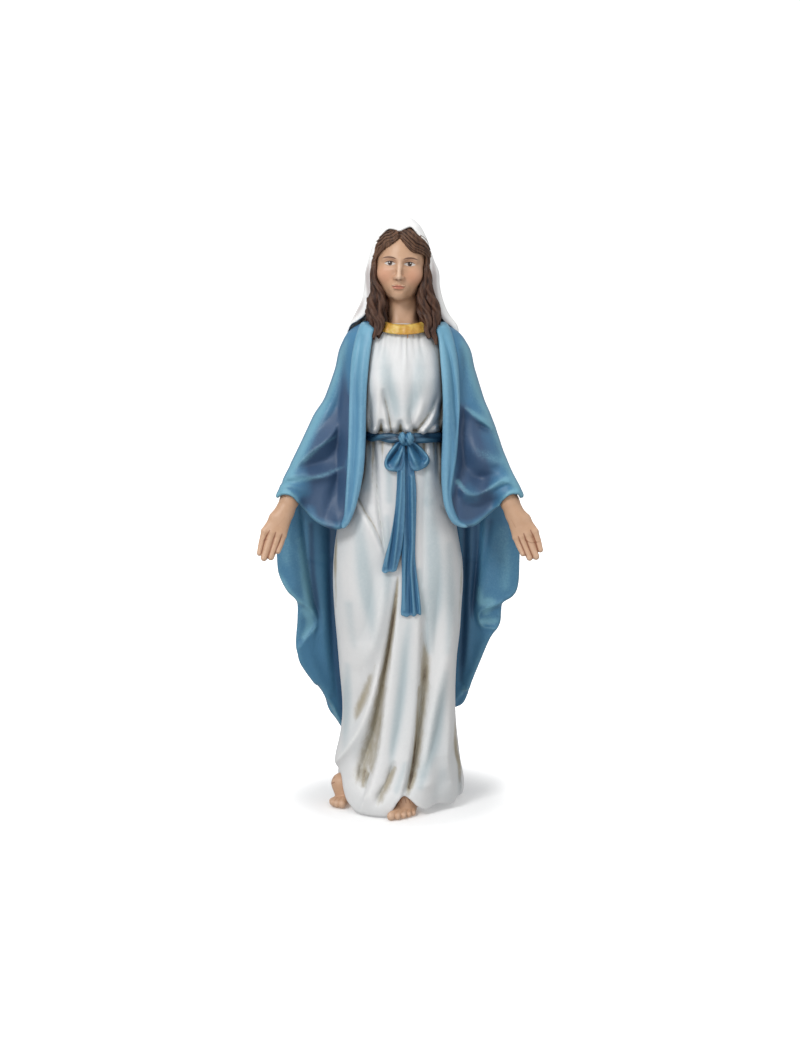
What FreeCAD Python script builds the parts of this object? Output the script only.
"""A standing figure of a robed and veiled woman with open hands, as a set of castings that seat in each other.

Millimetres. +Z is up, the figure faces -Y, and +X is the figure's own left. The origin is the middle of
the footprint, on the floor. Right and left are the figure's own.
"""
import FreeCAD
import Part
import math
import os

Vector = FreeCAD.Vector

# Overall sizes.
HEIGHT = 203.0  # floor to the top of the veil
SPAN = 95.0  # across the fingertips
DEPTH = 54.0  # front of the toes to the back of the mantle

# Sizes that can be set by themselves.
WRIST_SPIGOT_RADIUS = 2.2
WRIST_SPIGOT_LENGTH = 6.0
NECK_SPIGOT_RADIUS = 3.6
NECK_SPIGOT_LENGTH = 7.0
WAIST_TENON_LENGTH = 5.0
WAIST_TENON_WALL = 4.0  # from the tenon's side to the outside of the skirt's top
SOCKET_GAP = 0.1  # between a spigot and its socket, for the glue
SASH_WIDTH = 3.7
SASH_THICKNESS = 1.6
SASH_TAIL_WIDTH = 5.4
COLLAR_THICKNESS = 1.1
COLLAR_WIDTH = 3.4
BORDER_WIDTH = 6.6  # the turned-back strip along each front edge of the mantle
BORDER_THICKNESS = 2.0
HAIR_THICKNESS = 1.2
CAPE_RIM = 2.8  # how thick the cape is at its side edges
HEAD_TILT = 4.0  # degrees, towards the figure's left shoulder

# The stations below are drawn on a figure of this size, and are stretched to the overall sizes above.
DRAWN_HEIGHT, DRAWN_SPAN, DRAWN_DEPTH = 203.0, 95.0, 54.0
OUTLINE_POINTS = 32


def up(z):
    return z * HEIGHT / DRAWN_HEIGHT


def side(x):
    return x * SPAN / DRAWN_SPAN


def deep(y):
    return y * DEPTH / DRAWN_DEPTH


# Levels that several pieces share.
WAIST = up(127.4)
BODICE_FOOT = WAIST + SASH_WIDTH
NECK_BASE = up(166.0)
CHIN = up(174.7)
HEAD_CENTRE = Vector(0, deep(-1.5), up(187.2))
WRIST = Vector(side(-37.0), deep(-13.0), up(108.6))
FINGERTIPS = Vector(side(-44.2), deep(-20.0), up(89.2))

# Each station is a level, half widths to the right and left, and depths to the front and back.
SKIRT = [
    (0, 21.0, 21.6, 25.0, 13.0),
    (4, 22.4, 22.8, 25.2, 13.6),
    (14, 22.4, 21.6, 21.0, 12.5),
    (35, 21.0, 19.8, 18.2, 12.0),
    (60, 22.2, 20.9, 17.6, 12.0),
    (82, 22.6, 21.8, 17.5, 12.0),
    (97, 21.0, 19.6, 17.0, 12.0),
    (112, 16.6, 17.0, 16.2, 11.0),
    (121, 14.2, 15.2, 14.6, 10.0),
    (127.4, 12.4, 13.8, 12.8, 9.0),
]
BODICE = [
    (131.1, 12.4, 13.6, 12.8, 9.0),
    (135, 14.6, 15.6, 15.4, 10.0),
    (146, 15.4, 16.2, 16.4, 10.6),
    (155, 15.0, 16.0, 14.6, 10.0),
    (161, 13.4, 14.0, 12.0, 9.0),
    (165, 9.4, 9.8, 9.6, 7.6),
    (167, 5.8, 5.8, 6.8, 6.2),
]
SHOULDERS = [
    (90, 36.0, 35.0, 20.4, 21.0),
    (96, 40.0, 39.0, 20.2, 22.4),
    (103, 41.2, 40.2, 19.8, 22.4),
    (110, 41.2, 40.6, 19.4, 21.6),
    (119, 36.8, 36.8, 18.8, 20.2),
    (129, 31.8, 33.0, 18.0, 19.0),
    (140, 26.4, 29.0, 17.4, 18.0),
    (151, 22.6, 25.8, 16.2, 16.8),
    (160, 19.9, 22.9, 12.6, 15.0),
    (165, 15.6, 17.6, 10.0, 12.4),
    (168.5, 9.0, 9.6, 6.4, 9.4),
]
# The cape below the arms also has the depth of its side edges, and its front depth is from there.
CAPE = [
    (14, 15.0, 14.0, 13.0, 0.6, 11.2),
    (22, 21.6, 20.0, 11.4, 1.0, 14.4),
    (32, 26.4, 23.6, 9.6, 1.4, 17.0),
    (46, 35.2, 28.4, 7.0, 1.8, 19.8),
    (58, 36.8, 32.4, 5.0, 2.0, 22.0),
    (68, 37.6, 35.8, 3.6, 2.2, 23.2),
    (78, 41.8, 40.8, 2.6, 2.2, 23.6),
    (88, 42.6, 41.4, 1.6, 2.2, 22.8),
    (98, 41.6, 40.6, 0.8, 2.2, 21.6),
    (106, 37.6, 37.0, 0.2, 2.2, 20.2),
]
# How far back the inside of the cape is hollowed, at each of those levels.
CAPE_HOLLOWS = (1.0, 2.4, 3.8, 5.0, 6.0, 6.6, 7.0, 7.0, 6.4, 5.0)
# The veil leans over with the head: each station starts with its level and how far to the left it is.
VEIL = [
    (146, 0.2, 16.0, 16.0, 2.0, 17.8),
    (152, 0.3, 19.4, 19.4, 2.0, 18.6),
    (160, 0.4, 19.6, 19.6, 3.0, 17.4),
    (168, 0.5, 16.4, 16.4, 5.0, 15.6),
    (176, 0.6, 12.9, 12.9, 8.0, 14.4),
    (184, 0.8, 12.1, 12.1, 9.4, 13.8),
    (192, 1.1, 11.7, 11.7, 9.6, 12.4),
    (198.6, 1.4, 8.9, 8.9, 7.6, 9.2),
    (202, 1.6, 4.6, 4.6, 4.2, 4.8),
    (203, 1.7, 1.4, 1.4, 1.4, 1.4),
]
# The line of the front hem of the right sleeve, from the front edge out to the wrist: across, up.
SLEEVE_HEM = [(-9, 108), (-14, 101.5), (-19, 99), (-25, 100.5), (-31, 104.4), (-37, 107.6), (-46, 112)]


def outline(level, right, left, front, back, middle=0.0, shift=0.0, square=2.3, folds=0, ripple=0.0):
    """A closed smooth wire at a level: a rounded quadrilateral of four unlike quarters, with ripples."""
    points = []
    for i in range(OUTLINE_POINTS):
        turn = 2 * math.pi * i / OUTLINE_POINTS
        across, along = math.cos(turn), math.sin(turn)
        wide = left if across > 0 else right
        far = back if along > 0 else front
        swell = 1 + ripple * math.cos(folds * turn)
        x = math.copysign(abs(across) ** (2 / square), across) * wide * swell
        y = math.copysign(abs(along) ** (2 / square), along) * far * swell
        points.append(Vector(side(shift + x), deep(middle + y), up(level)))
    curve = Part.BSplineCurve()
    curve.interpolate(Points=points, PeriodicFlag=True)
    return Part.Wire([curve.toShape()])


def loft(wires):
    return Part.makeLoft(wires, True, False)


def swept_rounds(stations):
    """A smooth solid through circles, each (centre, radius), square to the way from its neighbours."""
    wires = []
    for i, (centre, radius) in enumerate(stations):
        ahead = stations[min(i + 1, len(stations) - 1)][0] - stations[max(i - 1, 0)][0]
        wires.append(Part.Wire([Part.makeCircle(radius, centre, ahead)]))
    return loft(wires)


def ellipse_wire(wide, thick):
    """A flat ellipse round the origin, wide along X and thick along Y."""
    ring = Part.Wire([Part.Ellipse(Vector(0, 0, 0), max(wide, thick), min(wide, thick)).toShape()])
    if thick > wide:
        ring.rotate(Vector(0, 0, 0), Vector(0, 0, 1), 90)
    return ring


def ellipsoid(centre, rx, ry, rz):
    matrix = FreeCAD.Matrix()
    matrix.scale(rx, ry, rz)
    matrix.move(centre)
    return Part.makeSphere(1.0).transformGeometry(matrix)


def biggest(shape):
    """The main solid of a cut, without crumbs that touch it nowhere."""
    return max(shape.Solids, key=lambda solid: solid.Volume)


def mirrored(shape):
    return shape.mirror(Vector(0, 0, 0), Vector(1, 0, 0))


def between(a, b, share):
    return a + (b - a) * share


def leaned(shape):
    """Tilted with the head, about the root of the neck."""
    tilted = shape.copy()
    tilted.rotate(Vector(0, HEAD_CENTRE.y, NECK_BASE), Vector(0, 1, 0), HEAD_TILT)
    return tilted


def depth_at(stations, across, level):
    """How far in front of the body's middle plane a row of stations reaches, as drawn."""
    low, high = stations[0], stations[-1]
    for near, after in zip(stations, stations[1:]):
        if near[0] <= level <= after[0]:
            low, high = near, after
    share = min(1.0, max(0.0, (level - low[0]) / (high[0] - low[0])))
    wide = max(1.0, low[1] + (high[1] - low[1]) * share)
    front = low[3] + (high[3] - low[3]) * share
    return front * (1 - min(0.95, abs(across) / wide) ** 2.3) ** (1 / 2.3)


def waist_outline(level, inset):
    _, right, left, front, back = SKIRT[-1]
    shrink_x, shrink_y = inset * DRAWN_SPAN / SPAN, inset * DRAWN_DEPTH / DEPTH
    sizes = (right - shrink_x, left - shrink_x, front - shrink_y, back - shrink_y)
    return outline(level * DRAWN_HEIGHT / HEIGHT, *sizes)


def waist_tenon(gap):
    """The oval stub on top of the skirt. It goes through the sash and into the bodice."""
    top = BODICE_FOOT + WAIST_TENON_LENGTH + gap
    return loft([waist_outline(z, WAIST_TENON_WALL - gap) for z in (WAIST - 1, top)])


def wrist_spigot(gap):
    way = (WRIST - FINGERTIPS).normalize()
    start = WRIST - way * 1.0
    return Part.makeCylinder(WRIST_SPIGOT_RADIUS + gap, WRIST_SPIGOT_LENGTH + 1.0 + gap, start, way)


def neck_spigot(gap):
    foot = Vector(0, HEAD_CENTRE.y, NECK_BASE - NECK_SPIGOT_LENGTH - gap)
    return Part.makeCylinder(NECK_SPIGOT_RADIUS + gap, NECK_SPIGOT_LENGTH + gap + 1, foot)


def make_foot(heel, toes, width, height):
    """A bare foot from heel to toes, with five toes, flat underneath."""
    way = (toes - heel).normalize()
    across = Vector(-way.y, way.x, 0)
    wires = []
    for share, wide, high in ((0, 0.36, 0.9), (0.35, 0.4, 1.0), (0.7, 0.5, 0.66), (0.92, 0.42, 0.4)):
        centre = between(heel, toes, share)
        ring = ellipse_wire(wide * width, high * height)
        ring.rotate(Vector(0, 0, 0), Vector(1, 0, 0), 90)
        ring.rotate(Vector(0, 0, 0), Vector(0, 0, 1), math.degrees(math.atan2(across.y, across.x)))
        ring.translate(centre)
        wires.append(ring)
    foot = loft(wires)
    for i in range(5):
        place = toes + across * width * 0.19 * (i - 2) - way * (0.4 + 0.25 * (i - 2) ** 2)
        foot = foot.fuse(ellipsoid(place + Vector(0, 0, 0.9), 0.8, 1.0, 1.0))
    above_floor = Part.makeBox(200, 200, 100, Vector(-100, -100, 0))
    return biggest(foot.common(above_floor))


def make_right_foot():
    heel = Vector(side(-15.0), deep(-2.0), 0)
    return make_foot(heel, Vector(side(-23.6), deep(-11.0), 0), 8.0, 8.4)


def make_left_foot():
    heel = Vector(side(4.0), deep(-12.0), 0)
    return make_foot(heel, Vector(side(0.6), deep(-26.2), 0), 8.0, 7.4)


def make_skirt(feet):
    ripples = [0.012 + 0.03 * max(0.0, 1 - level / 90) for level, *_ in SKIRT]
    wires = [outline(*s, folds=9, ripple=r) for s, r in zip(SKIRT, ripples)]
    skirt = loft(wires).fuse(waist_tenon(0))
    for foot in feet:
        skirt = skirt.cut(foot)
    return biggest(skirt)


def make_bodice():
    drawn_foot = BODICE_FOOT * DRAWN_HEIGHT / HEIGHT
    stations = [(drawn_foot, *BODICE[0][1:])] + BODICE[1:]
    body = loft([outline(*s, folds=10, ripple=0.008) for s in stations])
    return biggest(body.cut(waist_tenon(SOCKET_GAP)).cut(neck_spigot(SOCKET_GAP)))


def make_waist_sash():
    """The sash round the waist, a band on the tenon between skirt and bodice."""
    outside = loft([waist_outline(z, -SASH_THICKNESS / 2) for z in (WAIST, BODICE_FOOT)])
    return biggest(outside.cut(waist_tenon(SOCKET_GAP)))


def neck_shape():
    middle = HEAD_CENTRE.y
    stations = [(NECK_BASE - 1.0, 7.2), (NECK_BASE + 2, 5.6), (NECK_BASE + up(5), 5.0), (CHIN + up(4), 5.2)]
    return swept_rounds([(Vector(0, middle, z), r) for z, r in stations])


def make_head():
    """Skull, jaw, nose, neck and the spigot that goes down into the bodice."""
    top = up(199.4)
    tall = (top - CHIN) / 2
    skull = ellipsoid(Vector(0, HEAD_CENTRE.y + deep(0.8), top - tall * 0.74), 8.3, 9.6, tall * 0.74)
    jaw = ellipsoid(Vector(0, HEAD_CENTRE.y - deep(2.4), CHIN + tall * 0.78), 7.0, 6.9, tall * 0.78)
    nose = ellipsoid(Vector(0, HEAD_CENTRE.y - deep(9.0), CHIN + tall * 0.72), 1.1, 1.4, 2.6)
    upper = leaned(skull.fuse(jaw).fuse(nose))
    return biggest(upper.fuse(neck_shape()).fuse(neck_spigot(0)))


def face_opening():
    """What the hair leaves clear: the face, and the front of the neck."""
    middle = HEAD_CENTRE.y - deep(9.0)
    face = ellipsoid(Vector(0, middle, HEAD_CENTRE.z - up(2.0)), 7.6, 8.4, up(9.2))
    throat = Part.makeBox(10.4, 22, HEAD_CENTRE.z - up(150), Vector(-5.2, middle - 14, up(150)))
    return leaned(face.fuse(throat))


def make_hair_crown(head):
    top = up(199.4) + HAIR_THICKNESS
    foot = up(180)
    centre = Vector(0, HEAD_CENTRE.y + deep(1.4), (top + foot) / 2 - up(2.2))
    cap = leaned(ellipsoid(centre, 8.3 + HAIR_THICKNESS, 9.6 + HAIR_THICKNESS, top - centre.z))
    return biggest(cap.cut(head).cut(face_opening()))


def make_right_locks(lean, taken):
    """Wavy locks from the temple down over the collar: swept rounds that lie against each other."""
    locks = None
    for across, along, wave in ((-8.7, -4.6, 0.7), (-10.4, -1.0, -0.8), (-8.8, 2.6, 0.6)):
        stations = []
        for level, out, radius in ((189, 0, 1.3), (182, 0.4, 2.0), (175, 0.8, 2.4), (168, 1.0, 2.5), (161.5, 0, 1.2)):
            swing = wave * math.cos(level * 0.42)
            stations.append((Vector(across - out * 0.6 + swing, deep(along - out * 1.3), up(level)), radius))
        strand = swept_rounds(stations)
        locks = strand if locks is None else locks.fuse(strand)
    locks.translate(Vector(lean, 0, 0))
    for piece in taken:
        locks = locks.cut(piece)
    return biggest(locks)


def make_collar_band(head, bodice):
    """The gilt band round the neck of the gown, lying on the bodice and tilted down at the front."""
    tilt = 16.0
    middle = Vector(0, HEAD_CENTRE.y, NECK_BASE)
    disc = Part.makeCylinder(8.4 + COLLAR_THICKNESS, COLLAR_WIDTH + 1.6, Vector(0, 0, -COLLAR_WIDTH))
    disc.rotate(Vector(0, 0, 0), Vector(1, 0, 0), tilt)
    disc.translate(middle)
    return biggest(disc.cut(bodice).cut(head))


def sleeve_hem_cutter():
    """What lies in front of the cape and under the two front hems of the sleeves."""
    points = [Vector(side(x), 0, up(z)) for x, z in SLEEVE_HEM]
    hem = Part.BSplineCurve()
    hem.interpolate(Points=points)
    low = up(80)
    foot = [Vector(points[-1].x, 0, low), Vector(points[0].x, 0, low)]
    edges = [hem.toShape(), Part.makeLine(points[-1], foot[0])]
    edges += [Part.makeLine(foot[0], foot[1]), Part.makeLine(foot[1], points[0])]
    face = Part.Face(Part.Wire(edges))
    right = face.extrude(Vector(0, -deep(40), 0))
    right.translate(Vector(0, deep(3.0), 0))
    return right


def front_opening():
    """The gap between the two front edges of the mantle, down to the hems."""
    levels = ((90, 15.5, 14.5), (108, 14.5, 13.9), (131, 11.2, 14.5), (150, 11.6, 14.0), (163, 9.2, 12.8), (172, 8.6, 10.0))
    wires = []
    for level, right, left in levels:
        corners = [(-right, -30), (left, -30), (left, -2), (-right, -2), (-right, -30)]
        wires.append(Part.makePolygon([Vector(side(x), deep(y), up(level)) for x, y in corners]))
    return loft(wires)


def cape_hollow():
    """The shallow inside of the cape, which is open to the front at each side of the skirt."""
    rim = CAPE_RIM * DRAWN_SPAN / SPAN
    wires = []
    for (z, right, left, middle, _, _), dip in zip(CAPE, CAPE_HOLLOWS):
        wires.append(outline(z, right - rim, left - rim, 14.0, dip, middle=middle, square=2.4))
    return loft(wires)


def make_mantle(gown, hands):
    """The blue mantle: over both shoulders and arms, and down the back as a cape."""
    over = loft([outline(*s, square=2.2) for s in SHOULDERS])
    cutter = sleeve_hem_cutter()
    lowest = Part.makeBox(200, 200, up(92), Vector(-100, -200 + deep(3.0), 0))
    over = over.cut(cutter).cut(mirrored(cutter)).cut(lowest)
    cape = loft([outline(z, r, l, f, b, middle=m, square=2.4) for z, r, l, m, f, b in CAPE])
    cape = cape.cut(cape_hollow())
    mantle = over.fuse(cape).cut(front_opening())
    for piece in gown + hands:
        mantle = mantle.cut(piece)
    for socket in (wrist_spigot(SOCKET_GAP), mirrored(wrist_spigot(SOCKET_GAP))):
        mantle = mantle.cut(socket)
    return biggest(mantle)


def make_border(sign, taken):
    """The strip turned back along one front edge of the mantle, from the neck to the hem."""
    inner = {-1: (9.4, 11.2, 11.4, 12.6, 14.6), 1: (12.6, 14.0, 14.5, 14.2, 14.2)}[sign]
    wires = []
    for level, edge in zip((161, 150, 131, 115, 104), inner):
        outer = edge + BORDER_WIDTH * DRAWN_SPAN / SPAN
        proud = BORDER_THICKNESS * DRAWN_DEPTH / DEPTH
        skin = depth_at(SHOULDERS, (edge + outer) / 2, level)
        corners = ((edge, skin + proud), (outer, skin + proud * 0.6), (outer, skin - 3.0), (edge, skin - 3.0))
        points = [Vector(sign * side(x), -deep(y), up(level)) for x, y in corners]
        wires.append(Part.makePolygon(points + points[:1]))
    strip = loft(wires)
    for piece in taken:
        strip = strip.cut(piece)
    return biggest(strip)


def make_veil(taken):
    outside = loft([outline(z, r, l, f, b, middle=1.0, shift=s, square=2.1) for z, s, r, l, f, b in VEIL])
    slot = Part.makeBox(19.4, 30, up(196.6) - up(130), Vector(-9.7, -30 + deep(-3.4), up(130)))
    veil = outside.cut(face_opening()).cut(leaned(slot))
    for piece in taken:
        veil = veil.cut(piece)
    return biggest(veil)


def make_right_hand():
    """Palm, four fingers, thumb and the spigot that goes up into the sleeve."""
    way = (FINGERTIPS - WRIST).normalize()
    across = way.cross(Vector(0, 1, 0)).normalize()  # towards the thumb
    length = (FINGERTIPS - WRIST).Length
    normal = across.cross(way).normalize()

    def point(along, out, lift=0.0):
        return WRIST + way * along * length + across * out + normal * lift

    wires = []
    for along, wide, thick in ((-0.04, 3.0, 2.4), (0.15, 3.0, 2.1), (0.4, 3.9, 1.7), (0.58, 3.8, 1.3)):
        ring = ellipse_wire(wide, thick)
        placing = FreeCAD.Placement(point(along, 0), FreeCAD.Rotation(across, normal, way, "XZY"))
        ring.transformShape(placing.toMatrix())
        wires.append(ring)
    hand = loft(wires)
    for spread, reach in ((2.7, 0.93), (0.95, 1.0), (-0.85, 0.97), (-2.5, 0.86)):
        line = [(0.5, 0.9), (0.75, 0.86), (reach, 0.6)]
        finger = swept_rounds([(point(a, spread * (1.1 - 0.2 * a)), r) for a, r in line])
        hand = hand.fuse(finger).fuse(Part.makeSphere(0.6, point(reach, spread * (1.1 - 0.2 * reach))))
    thumb = [(point(0.14, 2.0), 1.2), (point(0.38, 3.9), 1.25), (point(0.6, 4.6), 0.8)]
    hand = hand.fuse(swept_rounds(thumb)).fuse(Part.makeSphere(0.8, thumb[-1][0]))
    return biggest(hand.fuse(wrist_spigot(0)))


def sash_middle(level):
    return Vector(side(1.6), -deep(depth_at(SKIRT, 1.6, level)), up(level))


def make_sash_knot(taken):
    knot = ellipsoid(sash_middle(129) + Vector(0, -deep(1.0), 0), side(2.4), 2.2, up(2.9))
    for piece in taken:
        knot = knot.cut(piece)
    return biggest(knot)


def make_bow_loop(sign, taken):
    """One loop of the bow: a flat drop from the knot, wider towards its end."""
    wires = []
    for level, out, wide, thick in ((127.6, 0.9, 0.9, 1.0), (124, 2.2, 1.9, 1.5), (121, 3.6, 2.6, 1.6), (118.4, 4.4, 1.6, 1.0)):
        skin = deep(depth_at(SKIRT, 1.6 + sign * out, level))
        centre = Vector(side(1.6 + sign * out), -skin - thick * 0.7, up(level))
        ring = ellipse_wire(side(wide), thick)
        ring.translate(centre)
        wires.append(ring)
    loop = loft(wires)
    for piece in taken:
        loop = loop.cut(piece)
    return biggest(loop)


def make_sash_tail(route, taken):
    """One hanging end of the sash, a flat ribbon lying on the skirt. The route is level, across, share of width."""
    wires = []
    for level, across, share in route:
        half = SASH_TAIL_WIDTH * share / 2 * DRAWN_SPAN / SPAN
        proud = SASH_THICKNESS * DRAWN_DEPTH / DEPTH
        skin = depth_at(SKIRT, across, level)
        corners = ((-half, skin + proud), (half, skin + proud), (half, skin - 2.0), (-half, skin - 2.0))
        points = [Vector(side(across + dx), -deep(y), up(level)) for dx, y in corners]
        wires.append(Part.makePolygon(points + points[:1]))
    tail = loft(wires)
    for piece in taken:
        tail = tail.cut(piece)
    return biggest(tail)


def build():
    parts = {}
    parts["right_foot"] = make_right_foot()
    parts["left_foot"] = make_left_foot()
    parts["skirt"] = make_skirt([parts["right_foot"], parts["left_foot"]])
    parts["bodice"] = make_bodice()
    parts["waist_sash"] = make_waist_sash()
    parts["head"] = make_head()
    parts["head"] = biggest(parts["head"].cut(parts["bodice"]))
    parts["collar_band"] = make_collar_band(parts["head"], parts["bodice"])
    parts["hair_crown"] = make_hair_crown(parts["head"])
    parts["right_hand"] = make_right_hand()
    parts["left_hand"] = mirrored(parts["right_hand"])
    gown = [parts["skirt"], parts["bodice"], parts["waist_sash"], parts["collar_band"], parts["head"]]
    parts["mantle"] = make_mantle(gown, [parts["right_hand"], parts["left_hand"]])
    parts["right_border"] = make_border(-1, gown + [parts["mantle"]])
    parts["left_border"] = make_border(1, gown + [parts["mantle"]])
    dressed = gown + [parts["mantle"], parts["right_border"], parts["left_border"]]
    hair_neighbours = dressed + [parts["hair_crown"]]
    lean = side(0.9)
    parts["right_locks"] = make_right_locks(lean, hair_neighbours)
    opposite = [mirrored(piece) for piece in hair_neighbours]
    parts["left_locks"] = mirrored(make_right_locks(-lean, opposite))
    hair = [parts["hair_crown"], parts["right_locks"], parts["left_locks"]]
    parts["veil"] = make_veil(dressed + hair)
    parts["sash_knot"] = make_sash_knot([parts["skirt"], parts["bodice"], parts["waist_sash"]])
    bow = [parts["skirt"], parts["waist_sash"], parts["sash_knot"]]
    parts["right_bow_loop"] = make_bow_loop(-1, bow)
    parts["left_bow_loop"] = make_bow_loop(1, bow)
    bow += [parts["right_bow_loop"], parts["left_bow_loop"]]
    long_route = ((127, 2.2, 0.3), (118, 2.8, 0.72), (104, 3.0, 0.8), (86, 3.2, 0.86), (68.6, 3.8, 1.3))
    parts["long_sash_tail"] = make_sash_tail(long_route, bow)
    short_route = ((126.4, 0.6, 0.3), (118, -0.6, 0.72), (104, -1.4, 0.9), (92, -3.0, 0.8), (83.8, -3.8, 1.0))
    parts["short_sash_tail"] = make_sash_tail(short_route, bow + [parts["long_sash_tail"]])
    return parts


def main():
    os.makedirs("parts", exist_ok=True)
    for name, shape in build().items():
        shape.exportStep("parts/%s.step" % name)
        print("%-16s valid=%s solids=%d volume=%8.1f" % (name, shape.isValid(), len(shape.Solids), shape.Volume))


main()
